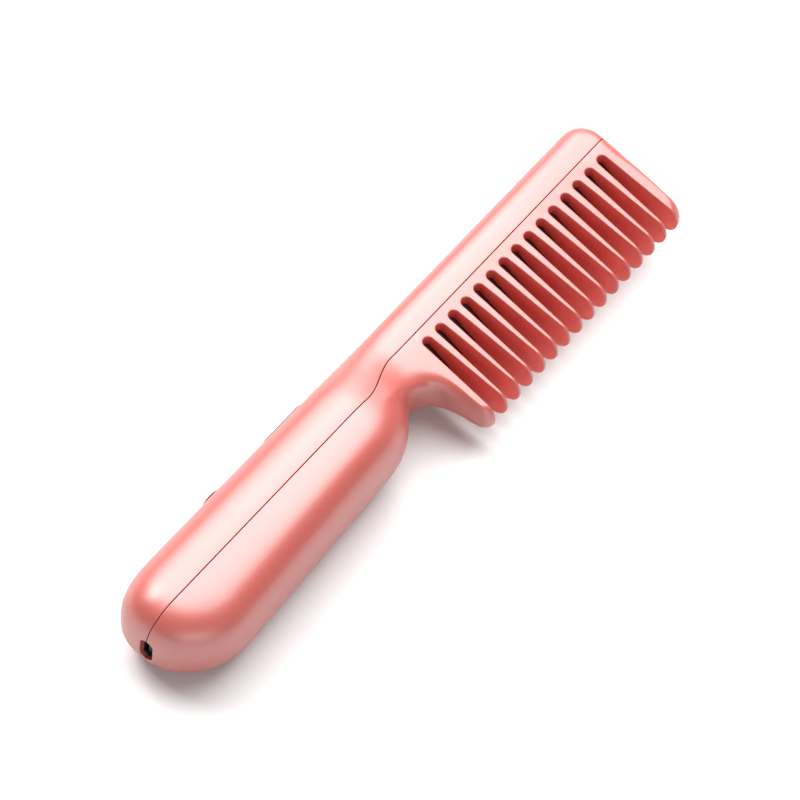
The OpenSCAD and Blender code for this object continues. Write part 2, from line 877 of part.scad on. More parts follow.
module heater_wires() {
    color([0.85, 0.85, 0.82])
        in_place()
            for (side = [-1, 1]) {
                z = side * heater_wire_z;
                wire_run_x(board_x + board_l / 2, heater_wire_x - wire_bend, wire_y, z);
                wire_elbow(heater_wire_x - wire_bend, wire_y - wire_bend, z, 0);
                post(heater_wire_x, z, wire_d, heater_wire_y + wire_bend, wire_y - wire_bend, small_fn);
                wire_elbow(heater_wire_x + wire_bend, heater_wire_y + wire_bend, z, 180);
                wire_run_x(heater_wire_x + wire_bend, ceramic_x0, heater_wire_y, z);
            }
}

module heater_bar() {
    color([0.08, 0.07, 0.07])
        in_place()
            difference() {
                along_x(bar_x0, bar_x1)
                    bar_outline(0);
                for (x = carrier_screw_x)
                    post(x, 0, screw_d + fit, bar_back - screw_l - fit, bar_back + over);
            }
}

module heater_ceramic() {
    color([0.93, 0.92, 0.88])
        in_place()
            block(ceramic_x0, ceramic_x1, ceramic_y0, ceramic_y1, -ceramic_w / 2, ceramic_w / 2);
}

module heater_film() {
    half = ceramic_w / 2 + fit;
    color([0.8, 0.5, 0.12])
        in_place()
            for (y = [film_y0, ceramic_y1])
                block(ceramic_x0 - film_over, ceramic_x1 + film_over, y, y + film_t, -half, half);
}

module heater_carrier() {
    inner = carrier_half - carrier_leg;
    color([0.9, 0.89, 0.86])
        in_place()
            difference() {
                union() {
                    along_x(bar_x0, bar_x1)
                        polygon([[seam_step, -carrier_half], [carrier_y1, -carrier_half],
                                 [carrier_y1, carrier_half], [seam_step, carrier_half],
                                 [seam_step, inner], [carrier_y0, inner],
                                 [carrier_y0, -inner], [seam_step, -inner]]);
                    for (x = carrier_screw_x)
                        post(x, 0, post_d, bar_back, carrier_y0 + fit);
                }
                for (x = carrier_screw_x)
                    post(x, 0, screw_d + 2 * fit, bar_back - over, carrier_y1 + over);
            }
}

module temperature_sensor() {
    x0 = ceramic_x1 + film_over + fit;
    color([0.15, 0.15, 0.15])
        in_place()
            block(x0, x0 + sensor_l, bar_back, bar_back + sensor_h, -sensor_w / 2, sensor_w / 2);
}

module thermal_fuse() {
    color([0.85, 0.83, 0.75])
        in_place()
            translate([fuse_x, carrier_y1 + fuse_d / 2 + fit / 2, 0])
                rotate([0, 90, 0])
                    cylinder(d = fuse_d, h = fuse_l, $fn = hole_fn);
}

// Screw along Y with its head's seat at y; dir is the way the shank points
module screw(x, y, z, l, dir) {
    translate([x, y, z])
        rotate([-90 * dir, 0, 0]) {
            cylinder(d = screw_d, h = l, $fn = hole_fn);
            translate([0, 0, -screw_head_t])
                cylinder(d = screw_head_d, h = screw_head_t, $fn = hole_fn);
        }
}

module board_screws() {
    color([0.7, 0.7, 0.72])
        in_place()
            at_board_posts()
                screw(0, board_y, 0, board_t + post_grip, 1);
}

module carrier_screws() {
    color([0.7, 0.7, 0.72])
        in_place()
            for (x = carrier_screw_x)
                screw(x, carrier_y1, 0, carrier_y1 - bar_back + screw_l, -1);
}

back_shell();
comb_shell();
control_panel();
display_window();
power_button();
switch_stem();
tact_switch();
display_module();
control_board();
controller_chip();
power_transistors();
charge_board();
socket_shell();
socket_tongue();
battery_cell();
battery_pads();
battery_tab_rear();
battery_tab_front();
battery_wire_rear();
battery_wire_front();
heater_bar();
heater_ceramic();
heater_film();
heater_carrier();
temperature_sensor();
thermal_fuse();
heater_wires();
board_screws();
carrier_screws();
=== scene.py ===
"""Dressed model of a cordless hot comb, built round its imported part.

Lengths in the classes are in millimetres, in the comb's own axes: X runs from the charging end to the
nose, Y = 0 is the handle's seam (back positive, tooth tips negative) and Z = 0 is the mid-plane.
Finished meshes are moved to the part's frame and to metres by Workshop.finish.
"""

import logging
from dataclasses import dataclass, field
from enum import Enum
from math import acos, atan2, ceil, cos, degrees, hypot, radians, sin, tan, tau
from typing import Iterable, Optional, Sequence

import bmesh
import bpy
from mathutils import Matrix, Vector
from mathutils.bvhtree import BVHTree

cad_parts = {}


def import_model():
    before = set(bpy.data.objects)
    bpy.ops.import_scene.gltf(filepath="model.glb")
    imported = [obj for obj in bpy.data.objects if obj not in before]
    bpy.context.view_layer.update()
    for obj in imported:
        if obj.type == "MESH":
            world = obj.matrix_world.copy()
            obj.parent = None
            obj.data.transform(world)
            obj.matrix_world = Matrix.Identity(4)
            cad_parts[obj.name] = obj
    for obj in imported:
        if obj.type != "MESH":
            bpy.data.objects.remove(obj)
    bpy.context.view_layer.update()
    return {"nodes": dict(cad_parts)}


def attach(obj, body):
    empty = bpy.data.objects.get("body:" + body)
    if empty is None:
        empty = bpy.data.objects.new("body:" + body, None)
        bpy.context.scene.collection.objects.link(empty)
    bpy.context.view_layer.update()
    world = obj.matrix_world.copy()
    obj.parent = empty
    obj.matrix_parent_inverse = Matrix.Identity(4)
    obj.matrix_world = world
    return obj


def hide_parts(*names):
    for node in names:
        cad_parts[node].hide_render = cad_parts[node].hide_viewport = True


LOG = logging.getLogger("hot_comb")
MM = 0.001
MERGE, FINE = 1e-4, 1e-5  # points nearer to each other than this are one
CLEAR = 1.0  # how far a cutter reaches past what it cuts
END_FLAT = 0.01  # a round end's radius is this much short, so that no two points meet
COAT_ROUGHNESS = 0.1
PATCH_RANGE = (0.3, 0.7)  # the part of a noise that a finish is spread over
MIX_COLOURS, MIX_RESULT = (6, 7), 2  # colour sockets of a Mix node

Mesh = bmesh.types.BMesh
Node = bpy.types.Node
Points = Sequence[Vector]
Pair = tuple[float, float]


def vec(*parts: float) -> Vector:
    """Returns the vector with these parts."""
    return Vector(parts)


def ease(v: float, a: float, b: float) -> float:
    """Returns 0 before a and 1 after b, smooth between."""
    t = min(max((v - a) / (b - a), 0.0), 1.0)
    return t * t * (3.0 - 2.0 * t)


def mix(a: float, b: float, t: float) -> float:
    """Returns the value that lies a share t of the way from a to b."""
    return a + (b - a) * t


def steps(n: int) -> list[float]:
    """Returns n + 1 even shares from 0 to 1."""
    return [k / n for k in range(n + 1)]


def arc(c: Vector, r: float, a0: float, a1: float, n: int) -> list[Vector]:
    """Returns the points of an arc.

    Args:
        c: centre.
        r: radius.
        a0: first angle in degrees.
        a1: last angle in degrees.
        n: number of steps.

    Returns:
        n + 1 points in the plane.
    """
    angles = [radians(mix(a0, a1, t)) for t in steps(n)]
    return [c + r * vec(cos(a), sin(a)) for a in angles]


def line(a: Vector, b: Vector, n: int) -> list[Vector]:
    """Returns n + 1 points from a to b."""
    return [a.lerp(b, t) for t in steps(n)]


def circle(c: Vector, d: float) -> list[Vector]:
    """Returns the points of a circle of diameter d round c."""
    return arc(c, d / 2, 0, 360, 64)[:-1]


def fillet(radius: float, first: float, lift: float, base: float = 0.0) -> list[Pair]:
    """Returns the way down a rounded edge at the skin.

    Args:
        radius: rounding of the edge.
        first: angle in degrees at which the cut crosses the skin.
        lift: height over the skin at which it starts.
        base: distance of the wall below the edge.

    Returns:
        Pairs of the distance outwards and the depth.
    """
    a0 = radians(first)
    way = [(base + radius * (1 - sin(a0)) + lift / tan(a0), radius * (1 - cos(a0)) - lift)]
    for t in steps(5):
        a = radians(mix(first, 90.0, t))
        way.append((base + radius * (1 - sin(a)), radius * (1 - cos(a))))
    return way


def as_mesh(bm: Mesh, name: str) -> bpy.types.Mesh:
    """Turns a mesh into mesh data and frees it."""
    mesh = bpy.data.meshes.new(name)
    bm.to_mesh(mesh)
    bm.free()
    return mesh


def place(name: str, data: bpy.types.ID) -> bpy.types.Object:
    """Adds an object with its data to the scene."""
    obj = bpy.data.objects.new(name, data)
    bpy.context.scene.collection.objects.link(obj)
    return obj


# ---- finishes ----


class Slot(Enum):
    """Place of a finish in a piece's material list."""

    OUTSIDE = 0
    DEEP = 1
    INSIDE = 2


class Nodes:
    """Small helper that adds and joins shader nodes of one material."""

    def __init__(self, name: str) -> None:
        """Starts an empty node tree with one Principled shader."""
        self.material = bpy.data.materials.new(name)
        self.material.use_nodes = True
        self.tree = self.material.node_tree
        self.tree.nodes.clear()
        output = self.add("ShaderNodeOutputMaterial")
        self.shader = self.add("ShaderNodeBsdfPrincipled")
        self.join(self.shader, "BSDF", output, "Surface")

    def add(self, kind: str, **settings: object) -> Node:
        """Adds a node and sets its properties."""
        node = self.tree.nodes.new(kind)
        for key, value in settings.items():
            setattr(node, key, value)
        return node

    def join(self, a: Node, out: str | int, b: Node, into: str | int) -> None:
        """Joins output out of a to input into of b."""
        self.tree.links.new(a.outputs[out], b.inputs[into])

    @staticmethod
    def put(node: Node, **values: object) -> None:
        """Sets constant inputs of a node; underscores stand for spaces."""
        for key, value in values.items():
            node.inputs[key.replace("_", " ")].default_value = value

    def coordinates(self) -> Node:
        """Returns a Mapping node on Object coordinates."""
        mapping = self.add("ShaderNodeMapping")
        self.join(self.add("ShaderNodeTexCoord"), "Object", mapping, "Vector")
        return mapping

    def noise(self, mapping: Node, scale: float) -> Node:
        """Returns a noise texture with the given scale per metre."""
        noise = self.add("ShaderNodeTexNoise")
        self.put(noise, Scale=scale, Detail=2.0)
        self.join(mapping, "Vector", noise, "Vector")
        return noise

    def ramp(self, source: Node, low: Sequence[float], high: Sequence[float]) -> Node:
        """Returns a colour ramp over source's Fac from one colour to the other."""
        ramp = self.add("ShaderNodeValToRGB")
        for element, at, colour in zip(ramp.color_ramp.elements, PATCH_RANGE, (low, high)):
            element.position = at
            element.color = (*colour, 1.0)
        self.join(source, "Fac", ramp, "Fac")
        return ramp

    def spread(self, source: Node, low: float, high: float) -> None:
        """Drives the roughness by source's Fac, spread from low to high."""
        spread = self.add("ShaderNodeMapRange")
        self.put(spread, From_Min=PATCH_RANGE[0], From_Max=PATCH_RANGE[1], To_Min=low, To_Max=high)
        self.join(source, "Fac", spread, "Value")
        self.join(spread, "Result", self.shader, "Roughness")

    def bump(self, source: Node, height: float) -> None:
        """Adds a bump of the given height in metres from source's Fac."""
        bump = self.add("ShaderNodeBump")
        self.put(bump, Distance=height, Strength=1.0)
        self.join(source, "Fac", bump, "Height")
        self.join(bump, "Normal", self.shader, "Normal")


@dataclass(frozen=True)
class Finish:
    """A plain moulded or cast surface: colour that varies a little, and a fine bump."""

    name: str
    colour: tuple[float, float, float]
    variation: float = 0.06
    patch_scale: float = 60.0
    roughness: Pair = (0.4, 0.5)
    metallic: float = 0.0
    coat: float = 0.0
    grain_scale: float = 4000.0
    grain_height: float = 0.000004
    specular: float = 0.5
    ior: float = 1.5

    def cover(self, n: Nodes, mapping: Node, colour: Node) -> tuple[Node, str | int]:
        """Returns the node and the output that give the colour with what lies over it."""
        return colour, "Color"

    def build(self) -> bpy.types.Material:
        """Returns the finish as a material."""
        n = Nodes(self.name)
        mapping = n.coordinates()
        patches = n.noise(mapping, self.patch_scale)
        shares = (1.0 - self.variation, 1.0 + self.variation)
        low, high = ([min(c * share, 1.0) for c in self.colour] for share in shares)
        n.join(*self.cover(n, mapping, n.ramp(patches, low, high)), n.shader, "Base Color")
        n.spread(patches, *self.roughness)
        n.bump(n.noise(mapping, self.grain_scale), self.grain_height)
        n.put(n.shader, Metallic=self.metallic, Coat_Weight=self.coat, Coat_Roughness=COAT_ROUGHNESS,
              Specular_IOR_Level=self.specular, IOR=self.ior)
        return n.material


@dataclass(frozen=True)
class PearlLacquer(Finish):
    """Satin rose lacquer with fine pearl flakes in it."""

    flake_scale: float = 9000.0
    flake_share: float = 0.12

    def cover(self, n: Nodes, mapping: Node, colour: Node) -> tuple[Node, str | int]:
        """Returns the node and the output that give the colour with the flakes over it."""
        flakes = n.add("ShaderNodeTexVoronoi")
        n.put(flakes, Scale=self.flake_scale)
        n.join(mapping, "Vector", flakes, "Vector")
        pearl = n.add("ShaderNodeMix", data_type="RGBA", blend_type="SOFT_LIGHT")
        n.put(pearl, Factor=self.flake_share)
        for source, into in zip((colour, flakes), MIX_COLOURS):
            n.join(source, "Color", pearl, into)
        return pearl, MIX_RESULT


# ---- shape of the casing ----


@dataclass(frozen=True)
class Rib:
    """One rib of the casing: its outline points, middle point and rounding depths."""

    back: Vector
    middle: Vector
    front: Vector
    back_round: float
    front_round: float


@dataclass
class Casing:
    """The comb's outer form, with the same sizes as the part's source."""

    overall_l: float = 181.0
    back_y: float = 13.5
    tip_y: float = 23.8
    handle_t: float = 26.4
    head_t: float = 17.2
    tip_t: float = 9.2
    wall: float = 2.0
    belly_y: float = 16.0
    belly_end_y: float = 13.35
    dome_l: float = 18.8
    belly_bend_l: float = 17.0
    notch_r: float = 6.2
    notch_y: float = 6.1
    notch_to_slot: float = 12.2
    first_slot: float = 103.5
    slot_count: int = 15
    pitch: float = 5.0
    slot_root_w: float = 2.85
    slot_tip_w: float = 4.35
    ridge_y: float = 4.0
    seam_step: float = 3.8
    seam_gap: float = 0.2
    dome_spine: float = 0.3
    dome_pole_y: float = 1.0
    dome_corner: float = 3.0
    tooth_tip_r: float = 2.5
    tooth_tip_in: float = 0.7
    nose_back_r: float = 6.5
    nose_tip_r: float = 3.6
    nose_lean: float = 1.8
    nose_spine: Pair = (12.0, 8.0)
    head_back_round: float = 7.0
    notch_round: float = 8.0
    tip_round: float = 3.2
    nose_round: float = 4.5
    most_round: float = 0.9
    back_fullness: float = 2.65
    belly_fullness: float = 2.6
    edge_fullness: float = 2.0
    end_fullness: float = 2.8
    nose_fullness: float = 2.3
    neck_reach: Pair = (18.0, 6.0)
    share_reach: Pair = (6.0, 3.0)
    spine_reach: Pair = (12.0, 6.0)
    spine_lead: float = 10.0
    jog_reach: Pair = (11.5, 2.5)
    tip_round_y: Pair = (-15.0, -22.5)
    wedge_from_y: float = 2.0
    wedge_end: float = 1.5
    wedge_soft: float = 3.0
    across_n: int = 16

    def __post_init__(self) -> None:
        """Works out the places that the sizes give."""
        self.end_x = -self.overall_l / 2
        self.nose_x = self.overall_l / 2
        self.dome_x = self.end_x + self.dome_l
        self.handle_mid_y = (self.back_y - self.belly_y) / 2
        self.first_x = self.end_x + self.first_slot
        self.last_x = self.first_x + (self.slot_count - 1) * self.pitch
        self.notch_x = self.first_x - self.notch_to_slot
        self.root_r = self.slot_root_w / 2
        rise = self.belly_end_y - self.notch_y - self.notch_r
        span2 = self.belly_bend_l ** 2 + rise ** 2
        self.bend_r = (span2 - self.notch_r ** 2) / (2 * (rise + self.notch_r))
        self.bend_angle = degrees(atan2(self.belly_bend_l, self.bend_r - rise))
        self.notch_c = vec(self.notch_x, -self.notch_y - self.notch_r)
        self.tooth_tip_c = vec(self.first_x - self.root_r - self.tooth_tip_in, -self.tip_y + self.tooth_tip_r)
        run = self.tooth_tip_c - self.notch_c
        self.tooth_lean = degrees(acos((self.notch_r + self.tooth_tip_r) / run.length) + atan2(run.y, run.x))

    def past_notch(self, x: float, reach: Pair) -> float:
        """Returns how far x is on the way from reach[0] before the notch to reach[1] past it."""
        return ease(x, self.notch_x - reach[0], self.notch_x + reach[1])

    def comb_share(self, x: float) -> float:
        """Returns how far the handle's section has turned into the comb's at x."""
        return self.past_notch(x, self.share_reach)

    def face_h(self, x: float, y: float) -> float:
        """Returns half the thickness at (x, y) before the edges are rounded."""
        run = self.wedge_from_y - (-self.tip_y + self.wedge_end)
        u = self.wedge_from_y - y
        down = min((hypot(u, self.wedge_soft) + u) / 2 / run, 1.0)
        ridge = mix(self.handle_t / 2, self.head_t / 2, self.past_notch(x, self.neck_reach))
        return mix(ridge, mix(ridge, self.tip_t / 2, down), self.comb_share(x))

    def seam_y(self, x: float) -> float:
        """Returns the seam's height over the handle's seam line at x."""
        return self.seam_step * self.past_notch(x, self.jog_reach)

    def _dome_ribs(self) -> list[Rib]:
        """Returns the ribs of the round handle end."""
        corner = 2 / self.dome_corner
        ribs = []
        for t in steps(34):
            a = radians(90 * t)
            along, across = max(cos(a), 0.0), sin(a)
            s = vec(self.dome_x - self.dome_spine * self.dome_l * along,
                    mix(self.handle_mid_y, self.dome_pole_y, along))
            b = vec(self.dome_x - self.dome_l * along ** corner,
                    mix(self.dome_pole_y, self.back_y, across ** corner))
            f = vec(self.dome_x - self.dome_l * along, mix(self.dome_pole_y, -self.belly_y, across))
            ribs.append(Rib(b, s, f, (b - s).length, (f - s).length))
        return ribs

    def _neck_front(self) -> list[Vector]:
        """Returns the front outline from the belly round the notch to the tip of the first tooth."""
        bend_x = self.notch_x - self.belly_bend_l
        way = vec(cos(radians(self.tooth_lean)), sin(radians(self.tooth_lean)))
        foot = self.notch_c + self.notch_r * way
        shoulder = self.tooth_tip_c - self.tooth_tip_r * way
        bend_c = vec(bend_x, -self.belly_end_y + self.bend_r)
        points = line(vec(self.dome_x, -self.belly_y), vec(bend_x, -self.belly_end_y), 12)
        points += arc(bend_c, self.bend_r, -90, -90 + self.bend_angle, 14)[1:]
        points += arc(self.notch_c, self.notch_r, 90 + self.bend_angle, self.tooth_lean, 30)[1:]
        points += line(foot, shoulder, 8)[1:]
        points += arc(self.tooth_tip_c, self.tooth_tip_r, 180 + self.tooth_lean, 270, 12)[1:]
        return points

    def _neck_ribs(self) -> list[Rib]:
        """Returns the ribs from the belly to the first tooth."""
        front = self._neck_front()
        lengths = [0.0]
        for a, b in zip(front, front[1:]):
            lengths.append(lengths[-1] + (b - a).length)
        ribs = []
        for f, length in zip(front[1:], lengths[1:]):
            x = mix(self.dome_x, front[-1].x, length / lengths[-1])
            c = self.past_notch(x, self.spine_reach)
            x += self.spine_lead * ease(x, self.notch_x - self.spine_reach[0], front[-1].x)
            t = ease(-f.y, -self.tip_round_y[0], -self.tip_round_y[1])
            s = vec(x, mix(self.handle_mid_y, self.ridge_y, c))
            b = vec(x, self.back_y)
            back_round = mix((b - s).length, self.head_back_round, c)
            front_round = mix((f - s).length, mix(self.notch_round, self.tip_round, t), c)
            ribs.append(Rib(b, s, f, back_round, front_round))
        return ribs

    def _comb_ribs(self) -> list[Rib]:
        """Returns the ribs of the head between the first tooth's tip and the nose."""
        x0 = self.tooth_tip_c.x
        x1 = self.nose_x - self.nose_lean - self.nose_tip_r
        ribs = []
        lead_x = x0 + self.spine_lead
        for t in steps(24)[1:]:
            b = vec(mix(lead_x, self.nose_x - self.nose_back_r, t), self.back_y)
            s = vec(mix(lead_x, self.nose_x - self.nose_spine[0], t), self.ridge_y)
            ribs.append(Rib(b, s, vec(mix(x0, x1, t), -self.tip_y), self.head_back_round, self.tip_round))
        return ribs

    def _nose_ribs(self) -> list[Rib]:
        """Returns the ribs that fan out over the nose."""
        corner_n, edge_n = 16, 8
        r, q = self.nose_back_r, self.nose_tip_r
        inner = self.nose_x - self.nose_lean
        end = vec(self.nose_x, 0.0)
        back = arc(vec(self.nose_x - r, self.back_y - r), r, 90, 0, corner_n)
        back += line(vec(self.nose_x, self.back_y - r), end, edge_n)[1:]
        front = arc(vec(inner - q, -self.tip_y + q), q, -90, 0, corner_n)
        front += line(vec(inner, -self.tip_y + q), end, edge_n)[1:]
        ribs = []
        n = corner_n + edge_n
        for k in range(1, n + 1):
            s = vec(self.nose_x - mix(*self.nose_spine, k / n), mix(self.ridge_y, 0.0, k / n))
            t = min(k / corner_n, 1.0)
            ribs.append(Rib(back[k], s, front[k], mix(self.head_back_round, self.nose_round, t),
                            mix(self.tip_round, self.nose_round, t)))
        return ribs

    def _half_rib(self, p: Vector, s: Vector, r: float, full: float, inset: float) -> list[Vector]:
        """Returns the points from outline point p towards the middle point s.

        Args:
            p: outline point in the plane.
            s: middle point in the plane.
            r: depth of the rounding.
            full: fullness of the section.
            inset: distance inwards from the surface.
        """
        reach = (s - p).length
        way = (s - p) / reach
        depth = min(r, self.most_round * reach)
        points = []
        for t in steps(self.across_n):
            a = radians(90 * t)
            share = depth / reach * (1 - max(cos(a), 0.0) ** (2 / full))
            q = p + way * mix(inset, reach, share)
            h = (self.face_h(q.x, q.y) - inset) * sin(a) ** (2 / full)
            points.append(vec(q.x, q.y, h if t > 0 else 0.0))
        edge = p + way * depth
        for t in (1 / 3, 2 / 3):
            q = edge.lerp(s, t)
            points.append(vec(q.x, q.y, self.face_h(q.x, q.y) - inset))
        return points

    def rows(self, inset: float) -> list[list[Vector]]:
        """Returns the rows of points over the upper side, from the handle's end to the nose.

        Args:
            inset: distance inwards from the outer surface.
        """
        rows = []
        for rib in self._dome_ribs() + self._neck_ribs() + self._comb_ribs() + self._nose_ribs():
            s = rib.middle
            end = min(max((self.dome_x - s.x) / (self.dome_spine * self.dome_l), 0.0), 1.0)
            belly_full = mix(self.belly_fullness, self.edge_fullness, self.comb_share(s.x))
            nose = ease(s.x, self.nose_x - self.nose_spine[0], self.nose_x - self.nose_spine[1])
            back_full, front_full = (mix(mix(full, self.end_fullness, end), self.nose_fullness, nose)
                                     for full in (self.back_fullness, belly_full))
            back = self._half_rib(rib.back, s, rib.back_round, back_full, inset)
            front = self._half_rib(rib.front, s, rib.front_round, front_full, inset)
            top = vec(s.x, s.y, self.face_h(s.x, s.y) - inset)
            rows.append(back + [top] + front[::-1])
        for row in (rows[0], rows[-1]):
            half = len(row) // 2
            for k in range(half):
                row[-1 - k] = row[k].copy()
        return rows

    def skin(self, inset: float) -> Mesh:
        """Returns the casing's closed surface, moved inwards by inset."""
        return grid(self.rows(inset), mirrored=True)


# ---- shop tools ----


def grid(rows: Sequence[Points], mirrored: bool = False) -> Mesh:
    """Returns a surface over rows of points.

    Args:
        rows: rows of points, each of the same length.
        mirrored: whether the surface is doubled across the mid-plane.
    """
    bm = bmesh.new()
    made = bmesh.ops.create_grid(bm, x_segments=len(rows[0]) - 1, y_segments=len(rows) - 1, size=1.0)
    for vert, point in zip(made["verts"], (p for row in rows for p in row)):
        vert.co = point
    if mirrored:
        geom = bm.verts[:] + bm.edges[:] + bm.faces[:]
        bmesh.ops.mirror(bm, geom=geom, axis="Z", merge_dist=MERGE)
    bmesh.ops.remove_doubles(bm, verts=bm.verts[:], dist=MERGE)
    bmesh.ops.dissolve_degenerate(bm, edges=bm.edges[:], dist=MERGE)
    bmesh.ops.recalc_face_normals(bm, faces=bm.faces[:])
    return bm


def close(bm: Mesh) -> Mesh:
    """Fills a mesh's open ends, turns its faces outwards and returns it."""
    bmesh.ops.holes_fill(bm, edges=[e for e in bm.edges if len(e.link_faces) == 1], sides=0)
    bmesh.ops.recalc_face_normals(bm, faces=bm.faces[:])
    return bm


def paint(bm: Mesh, slot: Slot) -> Mesh:
    """Gives every face one finish and returns the mesh."""
    for face in bm.faces:
        face.material_index = slot.value
    return bm


def prism(outline: Points, low: float, high: float, axis: str) -> Mesh:
    """Returns an outline extruded along an axis.

    Args:
        outline: points in the plane, (Y, Z) for axis X and (X, Z) for axis Y.
        low: where the prism starts.
        high: where it ends.
        axis: X or Y.
    """
    bm = bmesh.new()
    made = bmesh.ops.create_circle(bm, cap_ends=True, segments=len(outline), radius=1.0)
    for vert, p in zip(made["verts"], outline):
        vert.co = (low, p.x, p.y) if axis == "X" else (p.x, low, p.y)
    move = vec(high - low, 0, 0) if axis == "X" else vec(0, high - low, 0)
    top = bmesh.ops.extrude_face_region(bm, geom=bm.faces[:], use_keep_orig=True)["geom"]
    bmesh.ops.translate(bm, vec=move, verts=[v for v in top if isinstance(v, bmesh.types.BMVert)])
    bmesh.ops.recalc_face_normals(bm, faces=bm.faces[:])
    return bm


def carve(bm: Mesh, cutters: Iterable[Mesh]) -> Mesh:
    """Returns a mesh cut with closed meshes, one after the other; all of them are used up."""
    body, *tools = [place("carved", as_mesh(mesh, "carved")) for mesh in (bm, *cutters)]
    for tool in tools:
        cut = body.modifiers.new("cut", "BOOLEAN")
        cut.operation = "DIFFERENCE"
        cut.solver = "EXACT"
        cut.material_mode = "INDEX"
        cut.object = tool
    bpy.context.view_layer.update()
    mesh = bpy.data.meshes.new_from_object(body.evaluated_get(bpy.context.evaluated_depsgraph_get()))
    result = bmesh.new()
    result.from_mesh(mesh)
    spent = [mesh] + [obj.data for obj in (body, *tools)]
    for obj in (body, *tools):
        bpy.data.objects.remove(obj)
    for data in spent:
        bpy.data.meshes.remove(data)
    return result


def join(meshes: Sequence[Mesh]) -> Mesh:
    """Puts several meshes into the first one and returns it."""
    first = meshes[0]
    for other in meshes[1:]:
        mesh = as_mesh(other, "joined")
        first.from_mesh(mesh)
        bpy.data.meshes.remove(mesh)
    return first


def island(seed: bmesh.types.BMVert) -> set[int]:
    """Returns the indices of the vertices that hang together with one of them."""
    part, queue = {seed.index}, [seed]
    while queue:
        for edge in queue.pop().link_edges:
            for vert in edge.verts:
                if vert.index not in part:
                    part.add(vert.index)
                    queue.append(vert)
    return part


@dataclass
class Workshop:
    """Turns meshes into finished pieces."""

    casing: Casing
    mid_y: float
    crease: float = 30.0

    def finish(self, bm: Mesh, name: str, finishes: Sequence[bpy.types.Material], node: str,
               body: str = "comb") -> None:
        """Turns a mesh into a finished piece.

        Args:
            bm: mesh in millimetres; it is used up.
            name: the piece's name.
            finishes: materials in the order of Slot.
            node: the node that it stands for, which is hidden.
            body: the body it rides on.
        """
        bmesh.ops.remove_doubles(bm, verts=bm.verts[:], dist=FINE)
        bmesh.ops.dissolve_degenerate(bm, edges=bm.edges[:], dist=FINE)
        for face in bm.faces:
            face.smooth = True
        for edge in bm.edges:
            edge.smooth = len(edge.link_faces) == 2 and edge.calc_face_angle(0.0) < radians(self.crease)
        bmesh.ops.translate(bm, vec=(0, -self.mid_y, self.casing.handle_t / 2), verts=bm.verts[:])
        bmesh.ops.scale(bm, vec=(MM, MM, MM), verts=bm.verts[:])
        mesh = as_mesh(bm, name)
        for material in finishes:
            mesh.materials.append(material)
        obj = place(name, mesh)
        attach(obj, body)
        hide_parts(node)
        LOG.info("%s: %d faces", name, len(mesh.polygons))


@dataclass(frozen=True)
class Station:
    """One place on the edge of a cut: a point of the skin, the way in and the way to the kept material."""

    point: Vector
    inward: Vector
    side: Vector

    def loop(self, levels: Sequence[Pair], flip: float) -> list[Vector]:
        """Returns the cut's wall at this place, from the upper rim down to the lower one."""
        upper = [self.point + self.inward * d + self.side * (e * flip) for e, d in levels]
        return upper + [vec(p.x, p.y, -p.z) for p in reversed(upper)]


